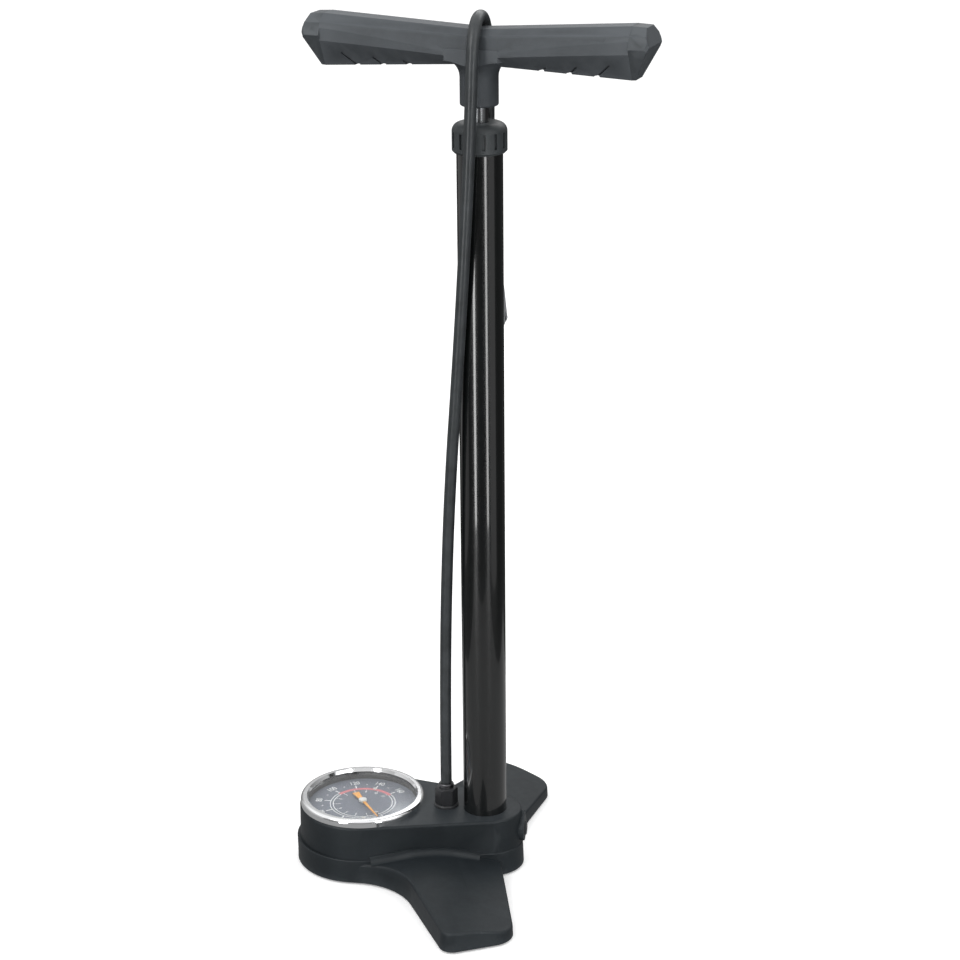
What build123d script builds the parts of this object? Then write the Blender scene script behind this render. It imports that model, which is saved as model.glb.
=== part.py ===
"""Floor bike pump: a steel barrel on a three-lobed base with a pressure gauge,
a T-handle on a sliding rod, and a hose that is stowed over the handle.

Millimetres, +Z up. The origin is on the floor under the barrel's axis, the gauge
lies towards -X and the two feet reach towards -Y and +Y.
"""
from build123d import *
from math import asin, cos, pi, radians, sin, tan
import os

os.makedirs("parts", exist_ok=True)

# ---------------------------------------------------------------- driving dimensions
BARREL_D = 32.0            # steel tube, 1 1/4 inch
BARREL_WALL = 1.2
BARREL_BOTTOM = 38.0
BARREL_TOP = 556.0

BASE_Z = 1.5               # the housing's lower rim, above the rubber pads
SKIRT_TOP = 19.5
DECK_Z = 45.5
WALL = 3.0
GAUGE_X = -93.2            # gauge axis
DRUM_R = 47.5              # upper wall round the gauge
SKIRT_R = 48.5
SKIRT_X = -94.6            # the lower wall stands out further at the gauge's far side
BOSS_X = 3.0               # the housing's round end behind the barrel
BOSS_R = 24.9
SKIRT_BOSS_R = 26.0
SKIRT_BOSS_TOP_R = 25.3    # the lower wall leans in towards the round end's upper wall

ROD_D = 12.0
COLLAR_R = 19.0
COLLAR_BOTTOM = 540.5
COLLAR_TOP = 561.2

SOCKET_R = 13.25           # the handle's round neck
SOCKET_BOTTOM = 572.4
ARM_L = 109.0              # centre of the handle to the end cap's joint
HANDLE_L = 122.9           # centre of the handle to the end cap's nose
HANDLE_TURN = -11.9        # degrees about +Z in which the handle is left at rest

GLAND_X = -29.2
HOSE_D = 8.4
PASSAGE_Z = 21.0           # drilled air passage in the valve block
CHECK_Z = 29.5             # axis of the check valve

HEAD_X = 0.0               # where the pump head hangs, behind the barrel
HEAD_Y = 36.0
HEAD_TOP = 456.0
NOZZLE_Z = 412.0

BARREL_R = BARREL_D / 2
BORE_R = BARREL_R - BARREL_WALL
ROD_R = ROD_D / 2
HOSE_R = HOSE_D / 2
FIT = 0.03                 # radial gap between pieces that are pressed or screwed together
RUN = 0.05                 # radial gap of a running fit
BOTTOM = (Align.CENTER, Align.CENTER, Align.MIN)


def save(piece, name):
    """Label a finished piece and write its STEP file."""
    piece.part.label = name
    export_step(piece.part, f"parts/{name}.step")


def ring(r_out, r_in, z0, z1, centre=(0, 0)):
    """Add a plain ring, or a disc where r_in is 0, to the part being built."""
    solid = Cylinder(r_out, z1 - z0, align=BOTTOM, mode=Mode.PRIVATE)
    if r_in:
        solid = solid - Cylinder(r_in, z1 - z0, align=BOTTOM, mode=Mode.PRIVATE)
    add(solid.moved(Location((*centre, z0))))


def bore(r, z0, z1, centre=(0, 0)):
    """Cut a round hole along Z from the part being built."""
    with Locations((*centre, z0)):
        Cylinder(r, z1 - z0, align=BOTTOM, mode=Mode.SUBTRACT)


def x_rod(r, x0, x1, y=0.0, z=0.0, mode=Mode.ADD):
    """Add or cut a round bar along X."""
    with Locations((x0, y, z)):
        Cylinder(r, x1 - x0, rotation=(0, 90, 0), align=BOTTOM, mode=mode)


# ---------------------------------------------------------------- base housing
def lobed_outline(r_drum, r_boss, x_drum=GAUGE_X):
    """The plan of the housing's body: two circles joined by their tangents."""
    lean = asin((r_drum - r_boss) / (BOSS_X - x_drum))
    drum = (x_drum + r_drum * sin(lean), r_drum * cos(lean))
    boss = (BOSS_X + r_boss * sin(lean), r_boss * cos(lean))
    with BuildLine() as outline:
        ThreePointArc((boss[0], -boss[1]), (BOSS_X + r_boss, 0), boss)
        Line(boss, drum)
        ThreePointArc(drum, (x_drum - r_drum, 0), (drum[0], -drum[1]))
        Line((drum[0], -drum[1]), (boss[0], -boss[1]))
    make_face(outline.edges())


# The front foot's corners in plan, with their radii. The rear foot is its mirror image.
FOOT_WAIST = (-58.8, -SKIRT_R)
FOOT_TIP_IN = (-9.9, -141.5)
FOOT_TIP_OUT = (37.4, -118.5)
FOOT_ROOT = (13.4, -15.0)
FOOT_ROUNDS = ((FOOT_WAIST, 50.0), (FOOT_TIP_IN, 10.0), (FOOT_TIP_OUT, 17.0))
# The foot's top is a shallow roof: a ridge, with a slope down to either side.
RIDGE_ROOT = Vector(-35, -35, 24)
RIDGE_TIP = Vector(-0.2, -136, 17.5)
LEFT_ROOT = Vector(-48.3, -61.4, 19.5)
RIGHT_ROOT = Vector(16.8, -27.6, 12.5)
CREST_BEND = 100.0         # radius over the ridge, where the two slopes meet


def skirt():
    """The housing's wider lower wall, with its top edge rounded."""
    with BuildPart() as wall:
        with BuildSketch(Plane.XY.offset(BASE_Z)):
            lobed_outline(SKIRT_R, SKIRT_BOSS_R, SKIRT_X)
        with BuildSketch(Plane.XY.offset(SKIRT_TOP)):
            lobed_outline(SKIRT_R, SKIRT_BOSS_TOP_R, SKIRT_X)
        loft(ruled=True)
        fillet(wall.faces().sort_by(Axis.Z)[-1].edges(), 0.75)
    return wall.part


def foot_plan(inset):
    """The front foot in plan, drawn in by inset all round."""
    with BuildSketch() as plan:
        with BuildLine():
            Polyline((SKIRT_X, 0), (SKIRT_X, -SKIRT_R), FOOT_WAIST, FOOT_TIP_IN,
                     FOOT_TIP_OUT, FOOT_ROOT, (0, 0), close=True)
        make_face()
        for corner, radius in FOOT_ROUNDS:
            fillet(plan.vertices().sort_by_distance((*corner, 0))[0], radius)
        if inset:
            offset(amount=-inset)
    return plan.sketch


def roof_plane(side_point, drop):
    """The plane through the ridge and one side point, lowered by drop."""
    normal = (RIDGE_TIP - RIDGE_ROOT).cross(side_point - RIDGE_ROOT).normalized()
    if normal.Z < 0:
        normal = normal * -1
    return Plane(origin=RIDGE_ROOT - Vector(0, 0, drop), z_dir=normal)


def foot_block(inset, drop):
    """One foot: a drafted block under its roof."""
    with BuildPart() as block:
        with BuildSketch(Plane.XY.offset(BASE_Z)):
            add(foot_plan(inset))
        extrude(amount=26, taper=2.5)
        split(bisect_by=roof_plane(LEFT_ROOT, drop), keep=Keep.BOTTOM)
        split(bisect_by=roof_plane(RIGHT_ROOT, drop), keep=Keep.BOTTOM)
        crest = block.edges().sort_by_distance((RIDGE_ROOT + RIDGE_TIP) / 2 - Vector(0, 0, drop))[0]
        fillet(crest, CREST_BEND)
    return block


def is_foot_rim(edge):
    """True for the edges round the outside of a foot's top."""
    mid = edge.center()
    along_ridge = abs((edge % 0.5).dot((RIDGE_TIP - RIDGE_ROOT).normalized())) > 0.998
    ends = [edge @ 0, edge @ 1]
    level = abs(ends[0].Z - ends[1].Z) < 9
    return mid.Z > 9 and mid.Y < -20 and level and not along_ridge


def rounded_foot():
    """The outer foot, with the rim of its top rounded."""
    foot = foot_block(0, 0)
    with BuildPart() as rounded:
        add(foot.part)
        fillet(rounded.edges().filter_by(is_foot_rim), 2.0)
    return rounded.part


COVE = 5.0                 # width of the concave strip beside a foot
COVE_LEFT = 46.0           # its lengths to either side of the ridge
COVE_RIGHT = 36.0


def wall_corner(side_point, wall_normal, length):
    """Where the housing's wall meets one slope of the foot's top, that far from the ridge."""
    along = roof_plane(side_point, 0).z_dir.cross(wall_normal).normalized()
    if along.dot(side_point - RIDGE_ROOT) < 0:
        along = along * -1
    return RIDGE_ROOT + along * length


def cove():
    """The concave strip in the corner of the housing's wall and the foot's top."""
    lean = asin((DRUM_R - BOSS_R) / (BOSS_X - GAUGE_X))
    wall_normal = Vector(sin(lean), -cos(lean), 0)
    left = wall_corner(LEFT_ROOT, wall_normal, COVE_LEFT)
    right = wall_corner(RIGHT_ROOT, wall_normal, COVE_RIGHT)
    with BuildPart() as strip:
        with BuildLine() as corner:
            FilletPolyline(left, RIDGE_ROOT, right, radius=CREST_BEND)
        with BuildSketch(Plane(origin=left, x_dir=wall_normal, z_dir=RIDGE_ROOT - left)):
            with BuildLine():
                Polyline((COVE, 0.3), (-1.0, 1.0), (-1.0, -COVE), (0.4, -COVE))
                ThreePointArc((0.4, -COVE), (COVE * 0.31, -COVE * 0.27), (COVE, 0.3))
            make_face()
        sweep(path=corner.wires()[0])
    return strip.part


SCREW_POSTS = [(6.0, -112.0, 13.0), (6.0, 112.0, 13.0), (-42.0, -54.0, 18.0),
               (-42.0, 54.0, 18.0), (-135.9, 0.0, 13.0)]      # x, y, top of the post
POST_R = 4.4
SCREW_R = 1.5

with BuildPart() as base_housing:
    with BuildSketch(Plane.XY.offset(SKIRT_TOP - 1)):
        lobed_outline(DRUM_R, BOSS_R)
    extrude(amount=DECK_Z - SKIRT_TOP + 1, taper=0.8)
    fillet(base_housing.faces().sort_by(Axis.Z)[-1].edges(), 1.8)
    add(skirt())
    for feature in (rounded_foot(), cove()):
        add(feature)
        add(mirror(feature, about=Plane.XZ, mode=Mode.PRIVATE))
    # teardrop surround of the valve plug on the round end
    with BuildSketch(Plane.YZ.offset(BOSS_X)):
        with Locations((0, CHECK_Z)):
            Circle(9.3)
        with BuildLine():
            Polyline((-8.6, CHECK_Z + 3.6), (0, DECK_Z - 1.2), (8.6, CHECK_Z + 3.6), close=True)
        make_face()
    extrude(amount=27.0)
    # hollow underside
    with BuildSketch(Plane.XY.offset(SKIRT_TOP - 2)):
        lobed_outline(DRUM_R - WALL, BOSS_R - WALL)
    extrude(amount=DECK_Z - WALL - SKIRT_TOP + 2, mode=Mode.SUBTRACT)
    with BuildSketch(Plane.XY.offset(BASE_Z)):
        lobed_outline(SKIRT_R - WALL, SKIRT_BOSS_TOP_R - WALL, SKIRT_X)
    extrude(amount=SKIRT_TOP - BASE_Z - 1.5, mode=Mode.SUBTRACT)
    add(foot_block(WALL, WALL).part, mode=Mode.SUBTRACT)
    add(mirror(foot_block(WALL, WALL).part, about=Plane.XZ, mode=Mode.PRIVATE),
        mode=Mode.SUBTRACT)
    # screw posts
    for x, y, top in SCREW_POSTS:
        ring(POST_R, 0, BASE_Z + 2, top, (x, y))
        bore(SCREW_R, BASE_Z + 2, top - 2, (x, y))
    # openings for the gauge, the gland, the barrel and the valve plug
    bore(43.2, DECK_Z - 5, DECK_Z + 1, (GAUGE_X, 0))
    bore(6.2, DECK_Z - 5, DECK_Z + 1, (GLAND_X, 0))
    bore(BARREL_R + 0.1, DECK_Z - 5, DECK_Z + 1)
    x_rod(6.3, BOSS_X + 15, BOSS_X + 30, z=CHECK_Z, mode=Mode.SUBTRACT)
save(base_housing, "base_housing")

with BuildPart() as base_plate:
    with BuildSketch(Plane.XY.offset(BASE_Z)):
        lobed_outline(SKIRT_R - WALL - 0.3, SKIRT_BOSS_TOP_R - WALL - 0.3, SKIRT_X)
        add(foot_plan(WALL + 0.3))
        add(mirror(foot_plan(WALL + 0.3), about=Plane.XZ, mode=Mode.PRIVATE))
    extrude(amount=2)
    for x, y, top in SCREW_POSTS:
        bore(SCREW_R + 0.3, BASE_Z, BASE_Z + 2, (x, y))
        bore(3.4, BASE_Z, BASE_Z + 1.2, (x, y))
save(base_plate, "base_plate")

with BuildPart() as plate_screws:
    for x, y, top in SCREW_POSTS:
        ring(3.2, 0, BASE_Z + 0.1, BASE_Z + 1.2, (x, y))
        ring(SCREW_R - 0.05, 0, BASE_Z + 1.2, top - 3, (x, y))
save(plate_screws, "plate_screws")

PAD_SPOTS = [(0.0, 0.0), (-4.0, -124.0), (-4.0, 124.0), (-120.0, -22.0), (-120.0, 22.0)]

with BuildPart() as foot_pads:
    for spot in PAD_SPOTS:
        ring(8.0, 0, 0, BASE_Z, spot)
save(foot_pads, "foot_pads")

# ---------------------------------------------------------------- valve block and check valve
SEAT_X = 8.0
CHAMBER_R = 6.0
CHAMBER_END = 21.5
BLOCK_R = 19.5
ARM_END = -40.0

with BuildPart() as valve_block:
    ring(BLOCK_R, 0, 10, DECK_Z - WALL - 0.1)
    with BuildSketch(Plane.XY.offset(13)):
        with Locations(((ARM_END - 10) / 2, 0)):
            Rectangle(-ARM_END - 10, 18)
    extrude(amount=21)
    x_rod(9.2, 0, CHAMBER_END, z=CHECK_Z)
    # socket of the barrel, inlet, valve chamber and outlet passage
    bore(BARREL_R + FIT, BARREL_BOTTOM - 1, DECK_Z)
    bore(3.0, CHECK_Z, BARREL_BOTTOM)
    x_rod(2.5, 0, SEAT_X, z=CHECK_Z, mode=Mode.SUBTRACT)
    x_rod(CHAMBER_R, SEAT_X, CHAMBER_END + 1, z=CHECK_Z, mode=Mode.SUBTRACT)
    bore(2.0, PASSAGE_Z, CHECK_Z, (SEAT_X + 6, 0))
    x_rod(2.0, ARM_END, SEAT_X + 6, z=PASSAGE_Z, mode=Mode.SUBTRACT)
    x_rod(4.0 + FIT, ARM_END, ARM_END + 6, z=PASSAGE_Z, mode=Mode.SUBTRACT)
    bore(1.6, PASSAGE_Z, 34, (GLAND_X, 0))
    bore(4.0 + FIT, 26, 35, (GLAND_X, 0))
save(valve_block, "valve_block")

with BuildPart() as barrel_gasket:
    ring(BARREL_R - 0.1, 9.0, BARREL_BOTTOM - 1, BARREL_BOTTOM)
save(barrel_gasket, "barrel_gasket")

DISC_X = SEAT_X + 2.6

with BuildPart() as check_disc:
    x_rod(4.6, SEAT_X, DISC_X, z=CHECK_Z)
    x_rod(1.6, DISC_X, DISC_X + 3, z=CHECK_Z)
save(check_disc, "check_disc")

PLUG_FACE = CHAMBER_END - 2.5      # inner end of the valve plug
PLUG_END = 31.4

with BuildPart() as check_spring:
    with BuildLine():
        coil = Helix(pitch=1.5, height=PLUG_FACE - DISC_X - 0.8, radius=2.9,
                     center=(DISC_X + 0.4, 0, CHECK_Z), direction=(1, 0, 0))
    with BuildSketch(Plane(origin=coil @ 0, z_dir=coil % 0)):
        Circle(0.35)
    sweep(path=coil, is_frenet=True)
save(check_spring, "check_spring")

with BuildPart() as valve_plug:
    x_rod(CHAMBER_R - FIT, PLUG_FACE, PLUG_END, z=CHECK_Z)
    chamfer(valve_plug.faces().sort_by(Axis.X)[-1].edges(), 1.4)
    with BuildSketch(Plane.YZ.offset(PLUG_END - 1.4)):
        with Locations((0, CHECK_Z)):
            Rectangle(8.0, 1.6)
    extrude(amount=3, mode=Mode.SUBTRACT)
save(valve_plug, "valve_plug")

# ---------------------------------------------------------------- hose gland
HOSE_START = 58.0

with BuildPart() as hose_barb:
    ring(4.0, 1.6, 26, 34, (GLAND_X, 0))
    ring(6.8, 1.6, 34, 37, (GLAND_X, 0))
    ring(5.5, 1.6, 37, HOSE_START, (GLAND_X, 0))
save(hose_barb, "hose_barb")

with BuildPart() as gland_nut:
    ring(9.1, 0, DECK_Z, DECK_Z + 2.2, (GLAND_X, 0))
    chamfer(gland_nut.faces().sort_by(Axis.Z)[-1].edges(), 0.8)
    with BuildSketch(Plane.XY.offset(DECK_Z + 1.4)):
        with Locations(Location((GLAND_X, 0), 12)):
            RegularPolygon(8.5, 6)
    extrude(amount=13.6)
    with BuildSketch(Plane.XZ):
        with BuildLine():
            top = DECK_Z + 15
            Polyline((GLAND_X, DECK_Z - 1), (GLAND_X + 12, DECK_Z - 1), (GLAND_X + 12, top - 3.6),
                     (GLAND_X + 6.6, top + 0.1), (GLAND_X, top + 0.1), close=True)
        make_face()
    revolve(axis=Axis((GLAND_X, 0, 0), (0, 0, 1)), mode=Mode.INTERSECT)
    bore(5.6, DECK_Z - 1, HOSE_START, (GLAND_X, 0))
    bore(HOSE_R + 0.1, HOSE_START - 1, DECK_Z + 17, (GLAND_X, 0))
save(gland_nut, "gland_nut")

with BuildPart() as hose_ferrule:
    ring(5.6, HOSE_R + 0.1, DECK_Z + 15, DECK_Z + 18.5, (GLAND_X, 0))
    chamfer(hose_ferrule.faces().sort_by(Axis.Z)[-1].edges().sort_by(SortBy.LENGTH)[-1], 0.7)
save(hose_ferrule, "hose_ferrule")

# ---------------------------------------------------------------- pressure gauge
CASE_R = 42.8
CASE_BOTTOM = 13.5
LENS_Z = 47.0
DIAL_Z = 41.0
DIAL_R = 40.9
SECTOR_X = GAUGE_X - 14.0          # pivot of the sector gear
PINION_TEETH = 10
SECTOR_RATIO = 7.0                 # needle turn over sector turn
PITCH_R = 1.75                     # pinion's pitch radius

with BuildPart() as gauge_case:
    ring(CASE_R, 0, CASE_BOTTOM, LENS_Z, (GAUGE_X, 0))
    bore(CASE_R - 1.2, CASE_BOTTOM + 1.2, LENS_Z + 1, (GAUGE_X, 0))
    x_rod(4.1, GAUGE_X + 38, GAUGE_X + 46, z=PASSAGE_Z, mode=Mode.SUBTRACT)
save(gauge_case, "gauge_case")

with BuildPart() as gauge_stem:
    x_rod(4.0, -58, ARM_END + 6, z=PASSAGE_Z)
    with Locations((-62, 0, PASSAGE_Z)):
        Box(9, 11, 10)
    x_rod(1.4, -63, ARM_END + 7, z=PASSAGE_Z, mode=Mode.SUBTRACT)
save(gauge_stem, "gauge_stem")

BOURDON_R = 31.0

with BuildPart() as bourdon_tube:
    with BuildSketch(Plane.XZ):
        with Locations((GAUGE_X + BOURDON_R, PASSAGE_Z + 8.6)):
            Ellipse(1.5, 3.5)
    revolve(axis=Axis((GAUGE_X, 0, 0), (0, 0, 1)), revolution_arc=250)
save(bourdon_tube, "bourdon_tube")

with BuildPart() as movement_frame:
    ring(5.2, 1.0, 27.5, 29.0, (GAUGE_X, 0))
    ring(5.2, 1.0, 37.0, 38.5, (GAUGE_X, 0))
    for z in (27.5, 37.0):
        with BuildSketch(Plane.XY.offset(z)):
            with Locations((GAUGE_X - 10, 0)):
                Rectangle(22, 7)
            with Locations((SECTOR_X, 0)):
                Circle(1.05, mode=Mode.SUBTRACT)
            with Locations((GAUGE_X, 0)):
                Circle(1.0, mode=Mode.SUBTRACT)
        extrude(amount=1.5)
    ring(1.8, 0, CASE_BOTTOM + 1.2, DIAL_Z - 0.1, (GAUGE_X - 19, 0))
save(movement_frame, "movement_frame")

with BuildPart() as gauge_dial:
    ring(DIAL_R, 1.2, DIAL_Z, DIAL_Z + 0.5, (GAUGE_X, 0))
    for side in (-1, 1):
        bore(0.8, DIAL_Z - 1, DIAL_Z + 1, (GAUGE_X + 5, side * 24))
save(gauge_dial, "gauge_dial")

with BuildPart() as dial_screws:
    for side in (-1, 1):
        ring(1.5, 0, DIAL_Z + 0.5, DIAL_Z + 1.1, (GAUGE_X + 5, side * 24))
        ring(0.75, 0, DIAL_Z - 1.5, DIAL_Z + 0.5, (GAUGE_X + 5, side * 24))
save(dial_screws, "dial_screws")

NEEDLE_Z = 43.2
NEEDLE_REST = -57.0                # degrees from +X of the needle at zero pressure
NEEDLE_TIP = 29.0
NEEDLE_TAIL = 14.0


def turned(points, angle, centre):
    """Points turned about Z by angle degrees, then moved to centre."""
    c, s = cos(radians(angle)), sin(radians(angle))
    return [(centre[0] + c * x - s * y, centre[1] + s * x + c * y) for x, y in points]


with BuildPart() as needle:
    ring(0.92, 0, 27.6, NEEDLE_Z, (GAUGE_X, 0))
    ring(3.0, 0, NEEDLE_Z, NEEDLE_Z + 1.6, (GAUGE_X, 0))
    with BuildSketch(Plane.XY.offset(NEEDLE_Z + 0.3)):
        with BuildLine():
            Polyline(*turned([(-NEEDLE_TAIL, -2.7), (-2, -1.3), (NEEDLE_TIP, -0.3),
                              (NEEDLE_TIP, 0.3), (-2, 1.3), (-NEEDLE_TAIL, 2.7)],
                             NEEDLE_REST, (GAUGE_X, 0)), close=True)
        make_face()
    extrude(amount=0.5)
save(needle, "needle")

with BuildPart() as needle_pinion:
    with BuildSketch(Plane.XY.offset(31.5)):
        with Locations((GAUGE_X, 0)):
            Circle(PITCH_R - 0.35)
            with PolarLocations(0, PINION_TEETH):
                with Locations((PITCH_R - 0.15, 0)):
                    Rectangle(0.5, 0.4)
            Circle(0.94, mode=Mode.SUBTRACT)
    extrude(amount=3)
save(needle_pinion, "needle_pinion")

SECTOR_R = 14.0 - PITCH_R          # pitch radius of the sector gear

with BuildPart() as sector_gear:
    with BuildSketch(Plane.XY.offset(32.0)):
        with Locations((SECTOR_X, 0)):
            Circle(2.6)
            Circle(0.95, mode=Mode.SUBTRACT)
        with BuildLine():
            rim = SECTOR_R - 0.5
            spread = [radians(a) for a in (-52.0, -20.0, 12.0)]
            rim_pts = [(SECTOR_X + rim * cos(a), rim * sin(a)) for a in spread]
            Line((SECTOR_X, -2.0), rim_pts[0])
            ThreePointArc(*rim_pts)
            Line(rim_pts[2], (SECTOR_X, 2.0))
            Line((SECTOR_X, 2.0), (SECTOR_X, -2.0))
        make_face()
        with Locations((SECTOR_X, 0)):
            Circle(0.95, mode=Mode.SUBTRACT)
        tooth_pitch = 360.0 / (PINION_TEETH * SECTOR_RATIO)
        for tooth in range(-9, 3):
            angle = (tooth + 0.5) * tooth_pitch
            with Locations(Location((SECTOR_X + (SECTOR_R - 0.42) * cos(radians(angle)),
                                     (SECTOR_R - 0.42) * sin(radians(angle))), angle)):
                Rectangle(0.5, 0.4)
    extrude(amount=2)
save(sector_gear, "sector_gear")

with BuildPart() as sector_pin:
    ring(0.9, 0, 27.6, 38.4, (SECTOR_X, 0))
save(sector_pin, "sector_pin")

with BuildPart() as needle_stop:
    stop = turned([(24.0, 0)], NEEDLE_REST + 5.0, (GAUGE_X, 0))[0]
    ring(0.7, 0, DIAL_Z + 0.5, NEEDLE_Z + 1.4, stop)
save(needle_stop, "needle_stop")

with BuildPart() as gauge_lens:
    ring(CASE_R, 0, LENS_Z, LENS_Z + 2.0, (GAUGE_X, 0))
save(gauge_lens, "gauge_lens")

BEZEL_R = 46.5
BEZEL_IN = 40.6
BEZEL_TOP = 51.2

with BuildPart() as gauge_bezel:
    with BuildSketch(Plane.XZ):
        with BuildLine():
            Polyline((GAUGE_X + CASE_R + 0.05, DECK_Z), (GAUGE_X + BEZEL_R, DECK_Z),
                     (GAUGE_X + BEZEL_R, BEZEL_TOP), (GAUGE_X + BEZEL_IN + 1.2, BEZEL_TOP),
                     (GAUGE_X + BEZEL_IN, LENS_Z + 2), (GAUGE_X + CASE_R + 0.05, LENS_Z + 2),
                     close=True)
        make_face()
    revolve(axis=Axis((GAUGE_X, 0, 0), (0, 0, 1)))
    rims = gauge_bezel.edges().filter_by(GeomType.CIRCLE).group_by(Axis.Z)[-1]
    fillet(rims.sort_by(SortBy.LENGTH)[-1], 2.6)
save(gauge_bezel, "gauge_bezel")

# ---------------------------------------------------------------- barrel, collar and guide
with BuildPart() as barrel:
    ring(BARREL_R, BORE_R, BARREL_BOTTOM, BARREL_TOP)
save(barrel, "barrel")

BUSH_BOTTOM = 536.0
COLLAR_SLOTS = 14

with BuildPart() as collar_cap:
    ring(COLLAR_R, 0, COLLAR_BOTTOM, COLLAR_TOP)
    fillet(collar_cap.faces().sort_by(Axis.Z)[-1].edges(), 6.0)
    chamfer(collar_cap.faces().sort_by(Axis.Z)[0].edges(), 1.6)
    with BuildSketch(Plane.XY.offset(COLLAR_BOTTOM + 4.2)):
        with PolarLocations(COLLAR_R, COLLAR_SLOTS, start_angle=4):
            Rectangle(2.6, 2.1)
    extrude(amount=10.6, mode=Mode.SUBTRACT)
    bore(BARREL_R + FIT, COLLAR_BOTTOM - 1, BARREL_TOP)
    bore(8.6, BARREL_TOP - 1, COLLAR_TOP - 1.6)
    bore(ROD_R + 0.5, BARREL_TOP, COLLAR_TOP + 1)
save(collar_cap, "collar_cap")

with BuildPart() as rod_bush:
    ring(BORE_R - FIT, ROD_R + RUN, BUSH_BOTTOM, BARREL_TOP)
save(rod_bush, "rod_bush")

with BuildPart() as rod_wiper:
    ring(8.5, ROD_R + 0.08, BARREL_TOP, COLLAR_TOP - 1.6)
save(rod_wiper, "rod_wiper")

with BuildPart() as top_bumper:
    ring(BORE_R - 0.3, ROD_R + 0.6, BUSH_BOTTOM - 4, BUSH_BOTTOM)
save(top_bumper, "top_bumper")

with BuildPart() as bottom_bumper:
    ring(BORE_R - 0.3, 5.0, BARREL_BOTTOM, BARREL_BOTTOM + 4)
save(bottom_bumper, "bottom_bumper")

# ---------------------------------------------------------------- piston and rod
PISTON_Z = BARREL_BOTTOM + 12.0    # underside of the piston at the bottom of the stroke
PISTON_H = 22.0
SEAL_Z = PISTON_Z + 9.0
ROD_TOP = 602.0

with BuildPart() as piston:
    ring(BORE_R - 0.2, 0, PISTON_Z, PISTON_Z + PISTON_H)
    with BuildSketch(Plane.XY.offset(SEAL_Z - 2.6)):
        Circle(BORE_R)
        Circle(BORE_R - 3.6, mode=Mode.SUBTRACT)
    extrude(amount=5.2, mode=Mode.SUBTRACT)
    bore(ROD_R + RUN, PISTON_Z - 1, PISTON_Z + PISTON_H + 1)
save(piston, "piston")

with BuildPart() as piston_ring:
    ring(BORE_R - 0.06, BORE_R - 3.55, SEAL_Z - 2.5, SEAL_Z + 2.5)
    fillet(piston_ring.edges().sort_by(SortBy.LENGTH)[-2:], 1.4)
save(piston_ring, "piston_ring")

with BuildPart() as piston_rod:
    ring(ROD_R, 0, PISTON_Z - 0.5, ROD_TOP)
    ring(4.0, 0, PISTON_Z - 7.5, PISTON_Z - 0.5)
save(piston_rod, "piston_rod")

with BuildPart() as piston_washer:
    ring(9.0, 4.0 + RUN, PISTON_Z - 1.9, PISTON_Z - 0.5)
save(piston_washer, "piston_washer")

with BuildPart() as piston_nut:
    with BuildSketch(Plane.XY.offset(PISTON_Z - 6.9)):
        RegularPolygon(6.5, 6, major_radius=False)
        Circle(4.0 + FIT, mode=Mode.SUBTRACT)
    extrude(amount=5.0)
save(piston_nut, "piston_nut")

with BuildPart() as rod_clip:
    ring(ROD_R + 2.2, ROD_R + FIT, PISTON_Z + PISTON_H, PISTON_Z + PISTON_H + 1.5)
save(rod_clip, "rod_clip")

# ---------------------------------------------------------------- handle
# Half of the arm's section as (y, z) from the top's edge round to the bottom's edge.
CENTRE_HALF = [(8.0, 624.5), (14.5, 620.3), (16.8, 606.0), (10.0, 601.5)]
END_HALF = [(8.0, 631.0), (15.5, 625.6), (18.5, 617.0), (7.5, 595.4)]
NUT_Z = 578.0
NUT_H = 14.0


def section_points(half):
    """The whole section, right side then left."""
    return half + [(-y, z) for y, z in reversed(half)]


def section(x, half):
    """One section of the handle in a plane across X."""
    with BuildSketch(Plane.YZ.offset(x)) as sketch:
        with BuildLine():
            Polyline(*section_points(half), close=True)
        make_face()
    return sketch.sketch


GRIP_SLITS = [(47.0, 5.0), (66.0, 9.0), (85.0, 14.0)]     # distance from the middle, slit length


def lower_edge(x):
    """The (y, z) of the underside's edge at a distance x from the handle's middle."""
    share = x / ARM_L
    inner, outer = CENTRE_HALF[3], END_HALF[3]
    return inner[0] + (outer[0] - inner[0]) * share, inner[1] + (outer[1] - inner[1]) * share


def groove_cutter(side, flank, x, slit):
    """The tool that cuts one slit up a lower facet, leaning outwards."""
    y, z = lower_edge(x)
    share = x / ARM_L
    crest_y = CENTRE_HALF[2][0] + (END_HALF[2][0] - CENTRE_HALF[2][0]) * share
    crest_z = CENTRE_HALF[2][1] + (END_HALF[2][1] - CENTRE_HALF[2][1]) * share
    rise = Vector(0, flank * (crest_y - y), crest_z - z).normalized()
    way = (rise + Vector(side, 0, 0)).normalized()
    face_normal = Vector(1, 0, 0).cross(rise)
    middle = Vector(side * x, flank * y, z) + way * (slit / 2 - 1)
    with BuildPart(Plane(origin=middle, x_dir=way, z_dir=face_normal)) as tool:
        Box(slit + 2, 1.3, 2.6)
    return tool.part


with BuildPart() as handle_solid:
    loft(sections=[section(-ARM_L, END_HALF), section(0, CENTRE_HALF),
                   section(ARM_L, END_HALF)], ruled=True)

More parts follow.
